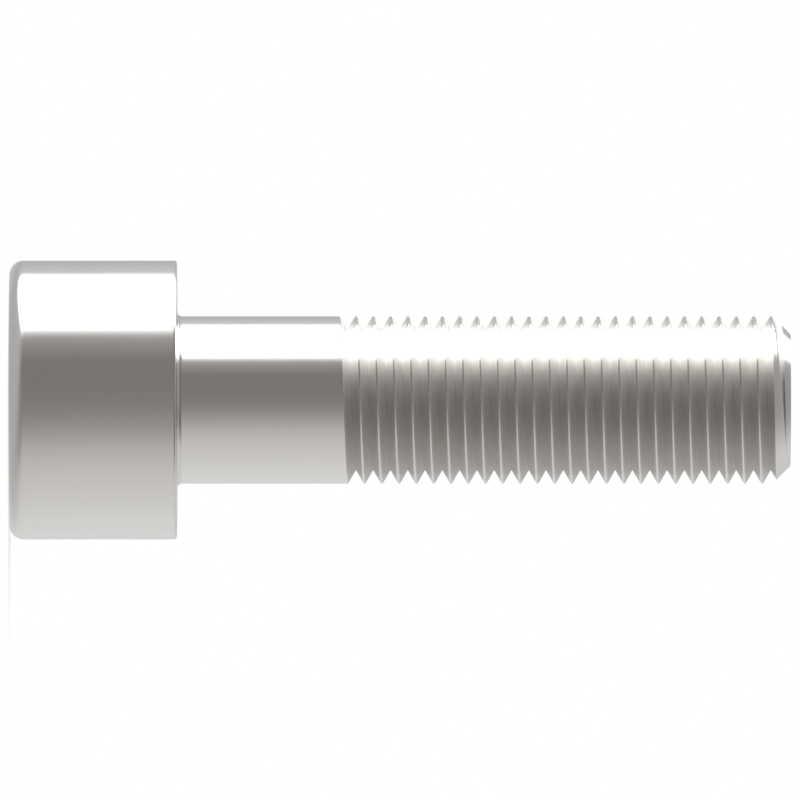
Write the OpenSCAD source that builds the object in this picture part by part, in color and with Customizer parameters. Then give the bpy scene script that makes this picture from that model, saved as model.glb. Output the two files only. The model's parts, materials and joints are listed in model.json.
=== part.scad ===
// Socket head cap screw, M6 x 22 with a part-length fine thread: one turned and rolled piece of bright steel.
// The origin is the centre of the bearing face under the head. +Z runs along the shank to the tip.

/* [Head] */
// Outside diameter of the head
head_d = 10; // [9:0.1:14]
// Height of the head, from its outer face to its bearing face
head_h = 6; // [5.5:0.1:9]
// Radius round the edge of the head's outer face
head_edge_r = 0.5; // [0.2:0.05:0.8]
// Radius round the edge of the bearing face
seat_edge_r = 0.1; // [0.05:0.05:0.3]

/* [Hex socket] */
// Width across the flats of the socket
socket_af = 5; // [4:0.1:5.5]
// Depth of the flats, from the head's outer face
socket_depth = 3; // [2:0.1:3.5]
// Full angle of the drilled cone that ends the socket
drill_angle = 120; // [100:5:150]
// Width of the bevel round the socket's mouth, measured from a flat
mouth_bevel = 0.45; // [0.2:0.05:0.6]

/* [Shank] */
// Diameter of the plain shank, which is also the thread's diameter over its crests
shank_d = 6; // [5:0.1:7]
// Length under the head, from the bearing face to the tip
screw_l = 22; // [16:0.5:30]
// Plain length, from the bearing face to the point where the first groove starts
plain_l = 5.8; // [2:0.1:12]
// Radius of the fillet between the shank and the bearing face
neck_r = 0.2; // [0.1:0.05:0.4]

/* [Thread] */
// Distance from one crest to the next along the axis
pitch = 0.62; // [0.5:0.01:0.8]
// Width of the flat along the crest
crest_w = 0.055; // [0.03:0.005:0.1]
// Full angle between the two flanks of a groove
flank_angle = 60; // [50:1:65]
// Turns over which the first groove sinks to its full depth
run_in_turns = 0.5; // [0.25:0.25:1]
// Angle of the tip's bevel to the axis
tip_angle = 45; // [30:1:50]
// How far the flat tip's edge lies inside the thread's root
tip_inset = 0.16; // [0.05:0.01:0.3]

/* [Hidden] */

head_r = head_d / 2;
shank_r = shank_d / 2;
socket_r = socket_af / 2;

// The threaded body is made of flat facets, this many to a turn
segments = 48;
// Height of the rolled crests over the plain shank, measured at the middle of a facet
crest_rise = 0.005;
crest_r = (shank_r + crest_rise) / cos(180 / segments);

// Depth of a groove, and the radius of its root
flank_slope = tan(flank_angle / 2);
groove_depth = (pitch - crest_w) / 2 / flank_slope;
root_r = crest_r - groove_depth;

// The bevel at the tip: its radius falls by bevel_slope for each millimetre along the axis
bevel_slope = tan(tip_angle);
tip_r = root_r - tip_inset;

// The groove is a ribbon of cross-sections. They are numbered from 0 to last, where its root meets the bevel.
run_in = run_in_turns * segments;
last = floor((screw_l - tip_inset / bevel_slope - plain_l) / pitch * segments);
// The threaded body starts below the first groove, and the turned shank ends inside it
thread_base = plain_l - pitch / 2;
shank_end = plain_l - pitch / 4;

// How far the socket's cutters reach past the head's outer face
overcut = 1;

// Round corner of a turned profile: the disc centred on [x, y]
module disc(x, y, r) {
    translate([x, y]) circle(r = r, $fn = 64);
}

// Profile of the head and the plain shank, to one side of the axis
module blank_profile() {
    edge_y = head_edge_r - head_h;
    translate([0, -head_h]) square([head_r - head_edge_r, head_h]);
    translate([0, edge_y]) square([head_r, -seat_edge_r - edge_y]);
    translate([0, -2 * seat_edge_r]) square([head_r - seat_edge_r, 2 * seat_edge_r]);
    disc(head_r - head_edge_r, edge_y, head_edge_r);
    disc(head_r - seat_edge_r, -seat_edge_r, seat_edge_r);
    translate([0, -seat_edge_r]) square([shank_r, seat_edge_r + shank_end]);
    difference() {
        translate([0, -seat_edge_r]) square([shank_r + neck_r, seat_edge_r + neck_r]);
        disc(shank_r + neck_r, neck_r, neck_r);
    }
}

// The head and the plain shank, turned about the axis
module blank() {
    rotate_extrude($fn = 96) blank_profile();
}

// Hex recess in the head's outer face, on the hole that was drilled for it
module hex_socket() {
    cone_h = socket_r / tan(drill_angle / 2);
    corner_r = socket_r / cos(30);
    bevel_h = overcut + mouth_bevel;
    translate([0, 0, -head_h]) {
        translate([0, 0, -overcut]) cylinder(h = overcut + socket_depth, r = corner_r, $fn = 6);
        translate([0, 0, socket_depth]) cylinder(h = cone_h, r1 = socket_r, r2 = 0, $fn = 96);
        translate([0, 0, -overcut]) cylinder(h = bevel_h, r1 = socket_r + bevel_h, r2 = socket_r, $fn = 96);
    }
}

// Point at an angle, a radius and a height
function polar(angle, r, z) = [r * cos(angle), r * sin(angle), z];

// Radius at which a flank meets the bevel, for a groove with its root at height z and radius q.
// side is 1 for the flank towards the tip and -1 for the one towards the head.
function bevel_reach(z, q, side) =
    let (k = side * flank_slope * bevel_slope)
    (tip_r + (screw_l - z) * bevel_slope + k * q) / (1 + k);

// Cross-section m of the groove: the top of the head-side flank, the root, and the top of the tip-side flank
function section(m) =
    let (
        angle = 360 * m / segments,
        z = plain_l + pitch * m / segments,
        q = m == last ? tip_r + (screw_l - z) * bevel_slope : crest_r - groove_depth * min(1, m / run_in),
        low = min(crest_r, bevel_reach(z, q, -1)),
        high = min(crest_r, bevel_reach(z, q, 1))
    )
    [
        polar(angle, low, z - (low - q) * flank_slope),
        polar(angle, q, z),
        polar(angle, high, z + (high - q) * flank_slope)
    ];

// Places in the list of points. The groove starts and ends in one point, so the sections at its two ends
// use their root alone.
function base(j) = j % segments;
function groove(m, side) = segments + 3 * m + ((m == 0 || m == last) ? 1 : 1 + side);
function tip(j) = segments + 3 * (last + 1) + j % segments;

// Two triangles over a four-sided patch, without one that has shrunk to a line
function patch(a, b, c, d) = [
    for (t = [[a, b, c], [a, c, d]]) if (t[0] != t[1] && t[1] != t[2] && t[2] != t[0]) t
];

// The threaded body: one closed surface with the groove, the land between its turns and the bevelled tip
module threaded_body() {
    sections = [for (m = [0 : last]) each section(m)];
    base_ring = [for (j = [0 : segments - 1]) polar(360 * j / segments, crest_r, thread_base)];
    tip_ring = [for (j = [0 : segments - 1]) polar(360 * j / segments, tip_r, screw_l)];
    final_turn = last - segments;

    flanks = [
        for (m = [0 : last - 1]) each concat(
            patch(groove(m, -1), groove(m, 0), groove(m + 1, 0), groove(m + 1, -1)),
            patch(groove(m, 0), groove(m, 1), groove(m + 1, 1), groove(m + 1, 0)))
    ];
    lands = [
        for (m = [0 : final_turn - 1])
            each patch(groove(m, 1), groove(m + segments, -1), groove(m + segments + 1, -1), groove(m + 1, 1))
    ];
    first_land = [
        for (j = [0 : segments - 2]) each patch(base(j), groove(j, -1), groove(j + 1, -1), base(j + 1))
    ];
    // The patch that closes the first turn has the groove's starting point on one side
    first_close = concat(
        patch(base(segments - 1), groove(segments - 1, -1), groove(0, 0), base(0)),
        [[groove(segments - 1, -1), groove(segments, -1), groove(0, 0)]]);
    last_land = [
        for (m = [final_turn + 1 : last - 1]) each patch(groove(m, 1), tip(m), tip(m + 1), groove(m + 1, 1))
    ];
    // The patch that opens the last turn has the groove's end point on one side
    last_open = concat(
        patch(groove(last, 0), tip(last), tip(last + 1), groove(final_turn + 1, 1)),
        [[groove(final_turn, 1), groove(last, 0), groove(final_turn + 1, 1)]]);
    caps = [[for (j = [0 : segments - 1]) base(j)], [for (j = [segments - 1 : -1 : 0]) tip(j)]];

    polyhedron(
        points = concat(base_ring, sections, tip_ring),
        faces = concat(flanks, lands, first_land, first_close, last_land, last_open, caps));
}

module screw() {
    color("silver") difference() {
        union() {
            blank();
            threaded_body();
        }
        hex_socket();
    }
}

screw();
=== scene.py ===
import json
import math

import bmesh
import bpy
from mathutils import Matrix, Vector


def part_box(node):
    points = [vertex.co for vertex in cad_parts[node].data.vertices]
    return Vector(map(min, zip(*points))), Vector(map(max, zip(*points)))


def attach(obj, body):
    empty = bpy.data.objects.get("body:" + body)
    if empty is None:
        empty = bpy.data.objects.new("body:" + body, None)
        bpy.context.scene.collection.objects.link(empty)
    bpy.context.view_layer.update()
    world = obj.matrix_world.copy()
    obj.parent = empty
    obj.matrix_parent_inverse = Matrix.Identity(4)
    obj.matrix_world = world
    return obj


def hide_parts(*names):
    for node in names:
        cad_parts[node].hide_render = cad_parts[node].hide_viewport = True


# A bright steel cap screw that stands on its head, in metres, with +Z from the head to the tip.
mm = 0.001

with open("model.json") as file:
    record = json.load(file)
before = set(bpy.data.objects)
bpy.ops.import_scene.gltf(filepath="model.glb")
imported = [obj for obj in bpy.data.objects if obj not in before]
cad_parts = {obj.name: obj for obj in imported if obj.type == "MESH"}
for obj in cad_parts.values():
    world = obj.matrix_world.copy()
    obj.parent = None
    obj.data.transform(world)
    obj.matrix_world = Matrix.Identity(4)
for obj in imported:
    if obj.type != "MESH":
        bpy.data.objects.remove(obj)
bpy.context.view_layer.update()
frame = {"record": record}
low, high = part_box("screw")
mounts = {mount["name"]: mount for mount in frame["record"]["mounts"]}
print("frame loaded")


# A number that runs between nodes. Sums, products and limits of it add Math nodes to its tree.
class Field:
    def __init__(self, tree, socket):
        self.tree = tree
        self.socket = socket

    def math(self, operation, *others):
        node = self.tree.nodes.new("ShaderNodeMath")
        node.operation = operation
        for slot, value in zip(node.inputs, (self,) + others):
            feed(self.tree, value, slot)
        return Field(self.tree, node.outputs[0])

    def __add__(self, other):
        return self.math("ADD", other)

    def __sub__(self, other):
        return self.math("SUBTRACT", other)

    def __mul__(self, other):
        return self.math("MULTIPLY", other)

    def __truediv__(self, other):
        return self.math("DIVIDE", other)

    def atMost(self, other):
        return self.math("MINIMUM", other)

    def atLeast(self, other):
        return self.math("MAXIMUM", other)


# Links a field to a socket, or sets the socket to a plain value.
def feed(tree, value, slot):
    if isinstance(value, Field):
        tree.links.new(value.socket, slot)
    else:
        slot.default_value = value


# A new node with its settings, and with its named inputs fed.
def addNode(tree, kind, settings=None, **inputs):
    node = tree.nodes.new(kind)
    for name, value in (settings or {}).items():
        setattr(node, name, value)
    for name, value in inputs.items():
        feed(tree, value, node.inputs[name])
    return node


# The three parts of a vector, as fields.
def splitVector(tree, vector):
    split = addNode(tree, "ShaderNodeSeparateXYZ")
    tree.links.new(vector, split.inputs[0])
    return [Field(tree, split.outputs[axis]) for axis in "XYZ"]


# Mixes two colours, each a field or a plain value.
def mixColors(tree, share, first, second):
    mix = addNode(tree, "ShaderNodeMix", {"data_type": "RGBA"})
    feed(tree, share, mix.inputs["Factor"])
    slots = [slot for slot in mix.inputs if slot.type == "RGBA"]
    feed(tree, first, slots[0])
    feed(tree, second, slots[1])
    return Field(tree, [slot for slot in mix.outputs if slot.type == "RGBA"][0])


# How far a value has gone from one limit to the other, from 0 to 1, with soft ends.
def between(value, limits):
    soft = addNode(value.tree, "ShaderNodeMapRange", {"interpolation_type": "SMOOTHSTEP"})
    feed(value.tree, value, soft.inputs["Value"])
    soft.inputs["From Min"].default_value, soft.inputs["From Max"].default_value = limits
    return Field(value.tree, soft.outputs["Result"])


# The other way round: 1 before the limits and 0 after them.
def upTo(value, limits):
    return between(value, limits) * -1 + 1


# A new Geometry Nodes tree with a geometry input and output, and its inputs by name. The named
# sizes come first, and then the rows and columns of its grid and its material.
def newTree(name, sizes):
    tree = bpy.data.node_groups.new(name, "GeometryNodeTree")
    face = tree.interface
    face.new_socket("Geometry", in_out="INPUT", socket_type="NodeSocketGeometry")
    for label in sizes:
        face.new_socket(label, in_out="INPUT", socket_type="NodeSocketFloat")
    for label in ("Rows", "Segments"):
        face.new_socket(label, in_out="INPUT", socket_type="NodeSocketInt")
    face.new_socket("Material", in_out="INPUT", socket_type="NodeSocketMaterial")
    face.new_socket("Geometry", in_out="OUTPUT", socket_type="NodeSocketGeometry")
    entry = tree.nodes.new("NodeGroupInput")
    return tree, {slot.name: Field(tree, slot) for slot in entry.outputs if slot.name}


# A grid that is wrapped round the axis. Each of its points has a row, and the part of a turn,
# from 0 to 1, at which its column stands.
def wrappedGrid(tree, fields):
    rows, segments = fields["Rows"], fields["Segments"]
    grid = addNode(tree, "GeometryNodeMeshGrid")
    feed(tree, segments + 1, grid.inputs["Vertices X"])
    feed(tree, rows, grid.inputs["Vertices Y"])
    place = Field(tree, addNode(tree, "GeometryNodeInputIndex").outputs[0])
    column = (place / rows).math("FLOOR")
    return grid, place.math("FLOORED_MODULO", rows), column / segments


# Puts the grid's points at their angle, radius and height, welds them, and hands the surface
# out with its material.
def finishTree(tree, fields, grid, angle, radius, height):
    place = addNode(tree, "ShaderNodeCombineXYZ")
    feed(tree, radius * angle.math("COSINE"), place.inputs["X"])
    feed(tree, radius * angle.math("SINE"), place.inputs["Y"])
    feed(tree, height, place.inputs["Z"])
    wrap = addNode(tree, "GeometryNodeSetPosition")
    weld = addNode(tree, "GeometryNodeMergeByDistance", Distance=weldDistance)
    realize = addNode(tree, "GeometryNodeRealizeInstances")
    paint = addNode(tree, "GeometryNodeSetMaterial")
    leave = tree.nodes.new("NodeGroupOutput")
    tree.links.new(grid.outputs["Mesh"], wrap.inputs["Geometry"])
    tree.links.new(place.outputs[0], wrap.inputs["Position"])
    tree.links.new(wrap.outputs[0], weld.inputs[0])
    tree.links.new(weld.outputs[0], realize.inputs[0])
    tree.links.new(realize.outputs[0], paint.inputs["Geometry"])
    feed(tree, fields["Material"], paint.inputs["Material"])
    tree.links.new(paint.outputs[0], leave.inputs[0])


# Runs a tree on a mesh and gives back the plain mesh that comes out.
def runTree(name, mesh, tree, values):
    carrier = bpy.data.objects.new(name, mesh)
    bpy.context.scene.collection.objects.link(carrier)
    modifier = carrier.modifiers.new(name, "NODES")
    modifier.node_group = tree
    for item in tree.interface.items_tree:
        if item.in_out == "INPUT" and item.name in values:
            modifier[item.identifier] = values[item.name]
    graph = bpy.context.evaluated_depsgraph_get()
    result = bpy.data.meshes.new_from_object(carrier.evaluated_get(graph), depsgraph=graph)
    bpy.data.objects.remove(carrier)
    return result


# Points that are nearer to each other than the first are welded, and edges that are shorter
# than the second are taken out.
weldDistance = 0.0001 * mm
shortestEdge = 0.00001 * mm

# The screw's own sizes. What the frame holds is read from it.
screw = {
    "segments": 192,
    "headRadius": high.x,
    "headFace": low.z,
    "tipFace": high.z,
    "shankRadius": mounts["shank"]["dims"]["r_mm"] * mm,
    "headEdge": 0.5 * mm,
    "seatEdge": 0.1 * mm,
    "neckFillet": 0.2 * mm,
    "edgeSteps": 12,
    "edgeSupport": 0.02 * mm,  # how far a row of points stands from each end of a round edge
    "socketAcross": 5.0 * mm,
    "socketDepth": 3.0 * mm,
    "socketBevel": 0.45 * mm,
    "drillAngle": math.radians(120),
    "threadBase": 5.49 * mm,
    "grooveStart": 5.8 * mm,
    "pitch": 0.62 * mm,
    "crestWidth": 0.055 * mm,
    "flankSlope": math.tan(math.radians(30)),
    "bevelSlope": math.tan(math.radians(45)),
    "runIn": 0.5,  # turns over which the groove sinks to its full depth
    "tipInset": 0.15 * mm,
    "sharpFrom": math.radians(12),
}


def grooveDepth(size):
    return (size["pitch"] - size["crestWidth"]) / 2 / size["flankSlope"]


def tipRadius(size):
    return size["shankRadius"] - grooveDepth(size) - size["tipInset"]


# Points of a round corner, from one angle to another.
def arc(centre, radius, start, end, steps):
    points = []
    for step in range(steps + 1):
        turn = math.radians(start + (end - start) * step / steps)
        points.append((centre[0] + radius * math.cos(turn), centre[1] + radius * math.sin(turn)))
    return points


# The turned profile from the socket's floor round the head to the thread, as radius, height and
# part: 0 is turned, 1 stands on the hex walls, and 2 is where they meet the bevel at the mouth.
def blankProfile(size):
    socket = size["socketAcross"] / 2
    floor = size["headFace"] + size["socketDepth"]
    mouth = socket + size["socketBevel"]
    edge, seat, neck = size["headEdge"], size["seatEdge"], size["neckFillet"]
    steps, support = size["edgeSteps"], size["edgeSupport"]
    head, shank, bottom = size["headRadius"], size["shankRadius"], size["headFace"]
    inside = [(0, floor + socket / math.tan(size["drillAngle"] / 2), 0)]
    inside += [(socket, floor, 0), (socket, floor, 1), (socket, bottom, 2), (mouth, bottom, 0)]
    outside = [(head - edge - support, bottom)]
    outside += arc((head - edge, bottom + edge), edge, -90, 0, steps)
    outside += [(head, bottom + edge + support), (head, -seat - support)]
    outside += arc((head - seat, -seat), seat, 0, 90, steps)
    outside += [(head - seat - support, 0), (shank + neck + support, 0)]
    outside += arc((shank + neck, neck), neck, 270, 180, steps)
    outside += [(shank, neck + support), (shank, size["threadBase"])]
    return inside + [(radius, height, 0) for radius, height in outside]


# Spins the profile round the axis, with hex walls in the socket.
def blankTree():
    tree, fields = newTree("Turned blank", ["Socket Radius", "Mouth Radius", "Head Face"])
    grid, row, turn = wrappedGrid(tree, fields)
    angle = turn * math.tau
    position = addNode(tree, "GeometryNodeInputPosition").outputs[0]
    part = addNode(tree, "GeometryNodeInputNamedAttribute", {"data_type": "FLOAT"}, Name="part")
    samples = []
    for kind, source in (("FLOAT_VECTOR", position), ("FLOAT", part.outputs[0])):
        sample = addNode(tree, "GeometryNodeSampleIndex", {"data_type": kind}, Index=row)
        feed(tree, fields["Geometry"], sample.inputs["Geometry"])
        tree.links.new(source, sample.inputs["Value"])
        samples.append(sample.outputs[0])
    sampled = splitVector(tree, samples[0])
    turnedRadius, turnedHeight = sampled[0], sampled[2]
    onHex = Field(tree, samples[1]).atMost(1)
    onMouth = (Field(tree, samples[1]) - 1).atLeast(0)
    sixth = math.tau / 6
    fromFlat = angle.math("FLOORED_MODULO", sixth) - sixth / 2
    hexRadius = fields["Socket Radius"] / fromFlat.math("COSINE")
    mouthHeight = fields["Head Face"] + fields["Mouth Radius"] - hexRadius
    radius = turnedRadius + (hexRadius - turnedRadius) * onHex
    height = turnedHeight + (mouthHeight - turnedHeight) * onMouth
    finishTree(tree, fields, grid, angle, radius, height)
    return tree


# Each turn of the thread has four rows: the head-side crest edge, the root, the tip-side crest
# edge, and the place where the crest meets the tip's bevel. Rows that fall together are welded.
rowsPerTurn = 4
# The rows begin this many turns before the groove does, and so cover the land below its start.
turnsBefore = 2


# Rolls the groove into the threaded part of the shank.
def threadTree():
    sizes = ["Groove Start", "Thread Base", "Pitch", "Crest Radius", "Groove Depth", "Run In"]
    sizes += ["Tip Face", "Tip Radius", "Flank Slope", "Bevel Slope"]
    tree, fields = newTree("Rolled thread", sizes)
    grid, row, part = wrappedGrid(tree, fields)
    crest, tip, tipRadius = fields["Crest Radius"], fields["Tip Face"], fields["Tip Radius"]
    slope, bevel = fields["Flank Slope"], fields["Bevel Slope"]
    turn = (row / rowsPerTurn).math("FLOOR") - turnsBefore + part
    skew = slope * bevel

    def bevelRadius(height):
        return tipRadius + (tip - height) * bevel

    def groove(at):
        start, base = fields["Groove Start"], fields["Thread Base"]
        root = (start + fields["Pitch"] * at).atLeast(base).atMost(tip)
        share = (at / fields["Run In"]).atLeast(0).atMost(1)
        reach = bevelRadius(root)
        rootRadius = (crest - fields["Groove Depth"] * share).atMost(reach)
        headSide = ((reach - skew * rootRadius) / (skew * -1 + 1)).atMost(crest)
        tipSide = ((reach + skew * rootRadius) / (skew + 1)).atMost(crest)
        lower = (headSide, root - (headSide - rootRadius) * slope)
        upper = (tipSide, root + (tipSide - rootRadius) * slope)
        return lower, (rootRadius, root), upper

    lower, root, upper = groove(turn)
    following = groove(turn + 1)[0]
    bend = tip - (crest - tipRadius) / bevel
    bendHeight = bend.atLeast(upper[1]).atMost(following[1])
    rim = (bevelRadius(bendHeight).atMost(crest), bendHeight)
    kind = row.math("FLOORED_MODULO", rowsPerTurn)
    chosen = []
    for which in (0, 1):
        switch = addNode(tree, "GeometryNodeIndexSwitch", {"data_type": "FLOAT"})
        while len(switch.index_switch_items) < rowsPerTurn:
            switch.index_switch_items.new()
        feed(tree, kind, switch.inputs["Index"])
        for slot, place in enumerate((lower, root, upper, rim)):
            feed(tree, place[which], switch.inputs[slot + 1])
        chosen.append(Field(tree, switch.outputs[0]))
    radius, height = chosen
    # the last row is the middle of the tip's face
    beforeLast = (fields["Rows"] - 1 - row).atMost(1)
    finishTree(tree, fields, grid, part * math.tau, radius * beforeLast, height)
    return tree


# Steel: turned and bright outside, with fine rings and a slow change of the satin. The rolled
# groove is rougher, and its colour is darker by painted shade and lighter towards the root by
# painted light.
steel = {
    "turned": (0.82, 0.815, 0.805, 1),
    # painted shade: the groove's colour is darker than the turned steel, and fully so below the
    # crests
    "rolled": (0.735, 0.72, 0.702, 1),
    # painted light: the colour grows lighter towards the root, which lifts the dark crease of the
    # groove's shade
    "root": (0.805, 0.792, 0.775, 1),
    "turnedRoughness": 0.12,
    "rolledRoughness": 0.4,
    # the painted shade in the groove's colour also reaches its full darkness at this depth
    "fullDepth": 0.08 * mm,  # depth below the crests at which the rolled finish is full
    "cloudsPerMetre": 700,
    "cloudDetail": 3,
    "satin": 0.04,  # roughness that the clouds add at their brightest
    "ringsPerMetre": 22000,
    "ringDetail": 2,
    "ringStretch": (0.02, 0.02, 1),
    "ringDepth": 0.00003 * mm,
}


# Two shares from 0 to 1: where the rolled finish and the painted groove shade are, and how near
# the place is to the root, where painted light lightens the groove.
def grooveShares(tree, place, look, size):
    across, away, height = splitVector(tree, place)
    radius = (across * across + away * away).math("SQRT")
    bevel = (height * -1 + size["tipFace"]) * size["bevelSlope"] + tipRadius(size)
    depth = (bevel.atMost(size["shankRadius"]) - radius).atLeast(0)
    above = height.math("GREATER_THAN", size["threadBase"])
    below = height.math("LESS_THAN", size["tipFace"] - size["edgeSupport"])
    # the share of the rolled finish, which also carries the painted shade in the groove's colour
    rolled = (depth / look["fullDepth"]).atMost(1) * above * below
    return rolled, (depth / grooveDepth(size)).atMost(1)


def steelMaterial(look, size):
    material = bpy.data.materials.new("steel")
    material.use_nodes = True
    tree = material.node_tree
    shader = tree.nodes["Principled BSDF"]
    shader.inputs["Metallic"].default_value = 1
    place = addNode(tree, "ShaderNodeTexCoord").outputs["Object"]
    rolled, rootLightShare = grooveShares(tree, place, look, size)
    # painted shade darkens the groove's colour below the crests, and painted light lightens it
    # again towards the root
    groove = mixColors(tree, rootLightShare * rootLightShare, look["rolled"], look["root"])
    feed(tree, mixColors(tree, rolled, look["turned"], groove), shader.inputs["Base Color"])
    cloudScale, cloudDetail = look["cloudsPerMetre"], look["cloudDetail"]
    clouds = addNode(tree, "ShaderNodeTexNoise", Scale=cloudScale, Detail=cloudDetail)
    tree.links.new(place, clouds.inputs["Vector"])
    satin = Field(tree, clouds.outputs["Fac"]) * look["satin"]
    duller = look["rolledRoughness"] - look["turnedRoughness"]
    finish = rolled * duller + look["turnedRoughness"]
    feed(tree, finish + satin, shader.inputs["Roughness"])
    stretch = addNode(tree, "ShaderNodeMapping")
    stretch.inputs["Scale"].default_value = look["ringStretch"]
    tree.links.new(place, stretch.inputs["Vector"])
    ringScale, ringDetail = look["ringsPerMetre"], look["ringDetail"]
    rings = addNode(tree, "ShaderNodeTexNoise", Scale=ringScale, Detail=ringDetail)
    tree.links.new(stretch.outputs[0], rings.inputs["Vector"])
    bump = addNode(tree, "ShaderNodeBump", Distance=look["ringDepth"])
    tree.links.new(rings.outputs["Fac"], bump.inputs["Height"])
    tree.links.new(bump.outputs[0], shader.inputs["Normal"])
    return material


# Makes the blank and the thread, and joins them to one closed mesh.
def makeScrew(size, material):
    profile = blankProfile(size)
    drawn = bpy.data.meshes.new("profile")
    drawn.from_pydata([(radius, 0, height) for radius, height, part in profile], [], [])
    parts = drawn.attributes.new("part", "FLOAT", "POINT")
    parts.data.foreach_set("value", [part for radius, height, part in profile])
    blank = runTree("blank", drawn, blankTree(), {
        "Socket Radius": size["socketAcross"] / 2,
        "Mouth Radius": size["socketAcross"] / 2 + size["socketBevel"],
        "Head Face": size["headFace"],
        "Rows": len(profile),
        "Segments": size["segments"],
        "Material": material,
    })
    grooveTurns = math.ceil((size["tipFace"] - size["grooveStart"]) / size["pitch"])
    turns = turnsBefore + grooveTurns + 1
    thread = runTree("thread", bpy.data.meshes.new("thread"), threadTree(), {
        "Groove Start": size["grooveStart"],
        "Thread Base": size["threadBase"],
        "Pitch": size["pitch"],
        "Crest Radius": size["shankRadius"],
        "Groove Depth": grooveDepth(size),
        "Run In": size["runIn"],
        "Tip Face": size["tipFace"],
        "Tip Radius": tipRadius(size),
        "Flank Slope": size["flankSlope"],
        "Bevel Slope": size["bevelSlope"],
        "Rows": rowsPerTurn * turns + 1,
        "Segments": size["segments"],
        "Material": material,
    })
    body = bmesh.new()
    body.from_mesh(blank)
    body.from_mesh(thread)
    bmesh.ops.remove_doubles(body, verts=body.verts, dist=weldDistance)
    bmesh.ops.dissolve_degenerate(body, edges=body.edges, dist=shortestEdge)
    bmesh.ops.recalc_face_normals(body, faces=body.faces)
    for facet in body.faces:
        facet.smooth = True
    openEdges = sum(not edge.is_manifold for edge in body.edges)
    mesh = bpy.data.meshes.new("screw")
    body.to_mesh(mesh)
    body.free()
    mesh.materials.clear()
    mesh.materials.append(material)
    mesh.set_sharp_from_angle(angle=size["sharpFrom"])
    piece = bpy.data.objects.new("cap_screw", mesh)
    bpy.context.scene.collection.objects.link(piece)
    print("screw made:", len(mesh.polygons), "faces,", openEdges, "open edges")
    return piece


screwPiece = makeScrew(screw, steelMaterial(steel, screw))
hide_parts("screw")
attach(screwPiece, "root")

# The studio: a pale floor, and a round light tent with a wide softbox on one side and a shaded
# front. A place on the tent has a turn, in degrees from the front towards the softbox, and a
# height from -1 at the bottom to 1 at the top. Two numbers are where a change starts and ends.
studio = {
    "background": (1, 1, 1, 1),
    "floorRadius": 16 * mm,
    "floorSegments": 96,
    "floorColor": (0.6, 0.6, 0.6, 1),
    "floorLift": 0.36,
    "fade": (3 * mm, 12 * mm),
    "tentRadius": 0.45,
    "tentSegments": 96,
    "tentRings": 48,
    "brightest": 13.0,
    # light of the wall, by turn
    "wall": [
        (-180, (0.66, 0.66, 0.66)),
        (-147, (0.765, 0.765, 0.76)),
        (-115, (0.765, 0.76, 0.75)),
        (-85, (0.7, 0.685, 0.667)),
        (-60, (0.64, 0.62, 0.6)),
        (-40, (0.525, 0.507, 0.49)),
        (-22, (0.365, 0.348, 0.332)),
        (-5, (0.257, 0.24, 0.227)),
        (15, (0.222, 0.206, 0.194)),
        (35, (0.222, 0.206, 0.194)),
        (55, (0.36, 0.35, 0.34)),
        (90, (0.6, 0.6, 0.6)),
        (140, (0.6, 0.6, 0.595)),
        (165, (0.47, 0.47, 0.47)),
        (180, (0.6, 0.6, 0.6)),
    ],
    "twist": 55,  # degrees that the wall turns from half height down to the bottom
    "shade": (0.13, 0.12, 0.11),
    "shadeFrom": (0.1, 0.5),
    "shadeSides": (35, 85),
    "above": (0.345, 0.34, 0.33),
    "aboveFrom": (0.6, 1.02),
    "haze": (0, 0.3),
    "hazeShare": 0.2,
    "below": (0.49, 0.48, 0.47),
    "belowFrom": (-0.08, 0.96),
    "lean": 0.28,  # how much less far top and bottom reach away from the softbox
    "softbox": (13.0, 13.0, 13.0),
    "softboxStart": (53, 94.5),
    "softboxEnd": (91.5, 132),
    # foot and top of the softbox's two parts, as height over reach to the side
    "lowerFoot": (-0.42, 0.12),
    "lowerTop": (0.6, 1.0),
    "upperFoot": (0.86, 1.05),
    "upperTop": (1.2, 1.95),
    "footSlope": 0.006,  # fall of the lower foot for each degree of turn
    "footTurns": (66, 95),  # where that foot stands as given, and where it stops falling
    "tilt": 35,  # degrees that the start of the softbox turns from half height up to the top
    "spread": 55,  # degrees that the end of its upper part turns in the same way
    "leastSide": 0.001,  # keeps the softbox's slope from a division by zero
}


def addObject(name, body, material):
    mesh = bpy.data.meshes.new(name)
    body.to_mesh(mesh)
    body.free()
    mesh.materials.append(material)
    piece = bpy.data.objects.new(name, mesh)
    bpy.context.scene.collection.objects.link(piece)
    return piece


# A material with no shader yet, its tree and its surface socket.
def emptyMaterial(name):
    material = bpy.data.materials.new(name)
    material.use_nodes = True
    tree = material.node_tree
    tree.nodes.clear()
    leave = addNode(tree, "ShaderNodeOutputMaterial")
    return material, tree, leave.inputs["Surface"]


# 1 for what the camera sees, itself or in metal or through glass.
def seenWhite(tree):
    path = addNode(tree, "ShaderNodeLightPath")
    seen = Field(tree, path.outputs["Is Camera Ray"]) + Field(tree, path.outputs["Is Glossy Ray"])
    return (seen + Field(tree, path.outputs["Is Transmission Ray"])).atMost(1)


# Where a turn from -180 to 180 degrees stands on the colour ramp.
def rampPlace(turn):
    return turn / 360 + 0.5


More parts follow.
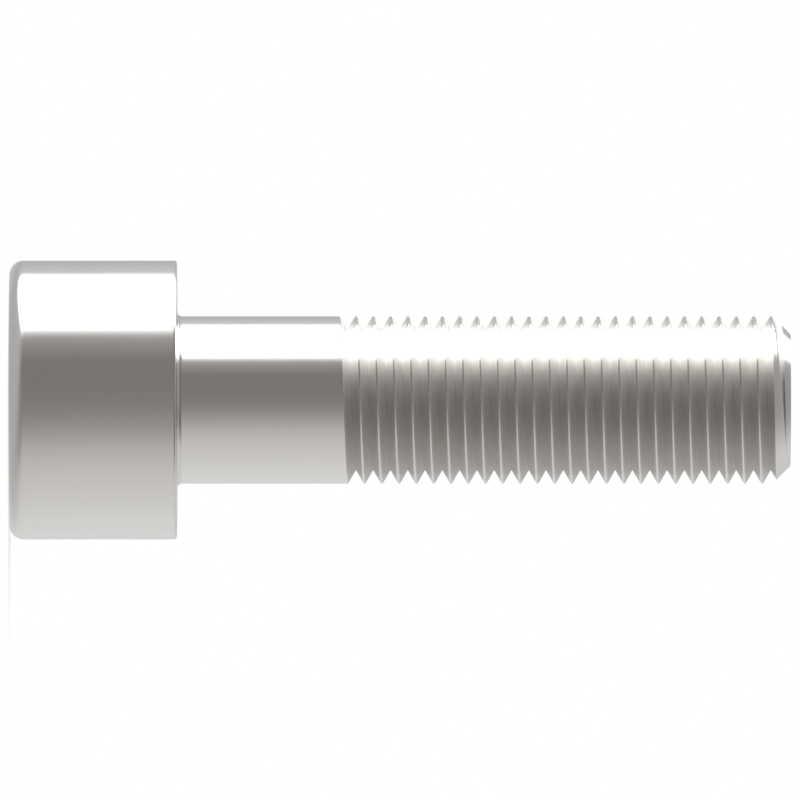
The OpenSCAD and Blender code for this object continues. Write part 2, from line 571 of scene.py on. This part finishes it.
# The tent's light. Its colours are shares of the brightest level, which is its strength.
def tentMaterial(look):
    material, tree, surface = emptyMaterial("tent")
    place = addNode(tree, "ShaderNodeTexCoord")
    toward = addNode(tree, "ShaderNodeVectorMath", {"operation": "NORMALIZE"})
    tree.links.new(place.outputs["Object"], toward.inputs[0])
    across, away, up = splitVector(tree, toward.outputs[0])
    side, front = across * -1, away * -1
    turn = side.math("ARCTAN2", front) * math.degrees(1)

    def level(color):
        return [part / look["brightest"] for part in color] + [1]

    twisted = turn - up.atMost(0) * look["twist"]
    ramp = addNode(tree, "ShaderNodeValToRGB")
    feed(tree, rampPlace(twisted).atMost(1), ramp.inputs["Fac"])
    stops = ramp.color_ramp.elements
    stops.remove(stops[1])
    for number, (angle, color) in enumerate(look["wall"]):
        stop = stops[0] if number == 0 else stops.new(rampPlace(angle))
        stop.position = rampPlace(angle)
        stop.color = level(color)
    wall = Field(tree, ramp.outputs["Color"])

    # the front is darker at its top
    shade = between(up, look["shadeFrom"]) * upTo(turn.math("ABSOLUTE"), look["shadeSides"])
    wall = mixColors(tree, shade, wall, level(look["shade"]))
    # the tent's top begins with a haze. On the side away from the softbox its top and its
    # bottom reach less far
    aside = side.atMost(0) * look["lean"]
    above, below = level(look["above"]), level(look["below"])
    wall = mixColors(tree, between(up, look["haze"]) * look["hazeShare"], wall, above)
    wall = mixColors(tree, between(up + aside, look["aboveFrom"]), wall, above)
    wall = mixColors(tree, between(up * -1 + aside, look["belowFrom"]), wall, below)
    # the softbox has a lower and an upper part, by the slope from its side. It leans a little,
    # its foot rises towards the front, and its upper part reaches farther back
    slope = up / side.atLeast(look["leastSide"])
    first, last = look["footTurns"]
    foot = slope + (turn.atMost(last) - first) * look["footSlope"]
    lower = upTo(turn, look["softboxEnd"]) * between(foot, look["lowerFoot"])
    lower = lower * upTo(slope, look["lowerTop"])
    upper = upTo(turn - up * look["spread"], look["softboxEnd"])
    upper = upper * between(slope, look["upperFoot"]) * upTo(slope, look["upperTop"])
    box = between(turn - up * look["tilt"], look["softboxStart"]) * lower.atLeast(upper)
    wall = mixColors(tree, box, wall, level(look["softbox"]))
    glow = addNode(tree, "ShaderNodeEmission", Color=wall, Strength=look["brightest"])
    tree.links.new(glow.outputs[0], surface)
    return material


# The floor is pale and matt, and takes the screw's shadow. Where it is seen it is lifted to
# white, and it ends in plain white towards its rim.
def floorMaterial(look):
    material, tree, surface = emptyMaterial("floor")
    seen = seenWhite(tree)
    place = addNode(tree, "ShaderNodeTexCoord")
    length = addNode(tree, "ShaderNodeVectorMath", {"operation": "LENGTH"})
    tree.links.new(place.outputs["Object"], length.inputs[0])
    rim = between(Field(tree, length.outputs["Value"]), look["fade"])
    matt = addNode(tree, "ShaderNodeBsdfDiffuse", Color=look["floorColor"])
    lift = addNode(tree, "ShaderNodeEmission", Strength=seen * look["floorLift"])
    lifted = addNode(tree, "ShaderNodeAddShader")
    white = addNode(tree, "ShaderNodeEmission")
    mix = addNode(tree, "ShaderNodeMixShader")
    feed(tree, rim * seen, mix.inputs[0])
    tree.links.new(matt.outputs[0], lifted.inputs[0])
    tree.links.new(lift.outputs[0], lifted.inputs[1])
    tree.links.new(lifted.outputs[0], mix.inputs[1])
    tree.links.new(white.outputs[0], mix.inputs[2])
    tree.links.new(mix.outputs[0], surface)
    return material


# The tent gives all the light. Only the camera looks through it, and the steel shows its lower
# part in place of the small floor.
def makeStudio(look):
    disc = bmesh.new()
    radius, segments = look["floorRadius"], look["floorSegments"]
    bmesh.ops.create_circle(disc, cap_ends=True, segments=segments, radius=radius)
    bmesh.ops.translate(disc, verts=disc.verts, vec=(0, 0, low.z))
    floor = addObject("floor", disc, floorMaterial(look))
    floor.visible_glossy = False
    ball = bmesh.new()
    segments, rings = look["tentSegments"], look["tentRings"]
    radius = look["tentRadius"]
    bmesh.ops.create_uvsphere(ball, u_segments=segments, v_segments=rings, radius=radius)
    tent = addObject("tent", ball, tentMaterial(look))
    tent.visible_camera = False


# The background is plain white.
def makeWorld(look):
    world = bpy.data.worlds.new("studio")
    world.use_nodes = True
    bpy.context.scene.world = world
    tree = world.node_tree
    tree.nodes.clear()
    seen = seenWhite(tree)
    glow = addNode(tree, "ShaderNodeBackground", Color=look["background"], Strength=seen)
    leave = addNode(tree, "ShaderNodeOutputWorld")
    tree.links.new(glow.outputs[0], leave.inputs["Surface"])


makeStudio(studio)
makeWorld(studio)
print("studio made")

# The camera looks along +Y with a long lens. It is turned so that the screw's tip is at the
# right of the picture.
view = {
    "frameWidth": 28.69 * mm,
    "halfAngle": math.radians(0.62),
    "middle": 8.0 * mm,
    "turned": (math.radians(90), math.radians(-90), 0),
    "clipStart": 0.01,
}


def makeCamera(look):
    lens = bpy.data.cameras.new("camera")
    lens.angle = 2 * look["halfAngle"]
    lens.clip_start = look["clipStart"]
    camera = bpy.data.objects.new("camera", lens)
    distance = look["frameWidth"] / 2 / math.tan(look["halfAngle"])
    camera.location = (0, -distance, look["middle"])
    camera.rotation_euler = look["turned"]
    bpy.context.scene.collection.objects.link(camera)
    bpy.context.scene.camera = camera


makeCamera(view)
bpy.context.scene.view_settings.view_transform = "Standard"
print("camera set")
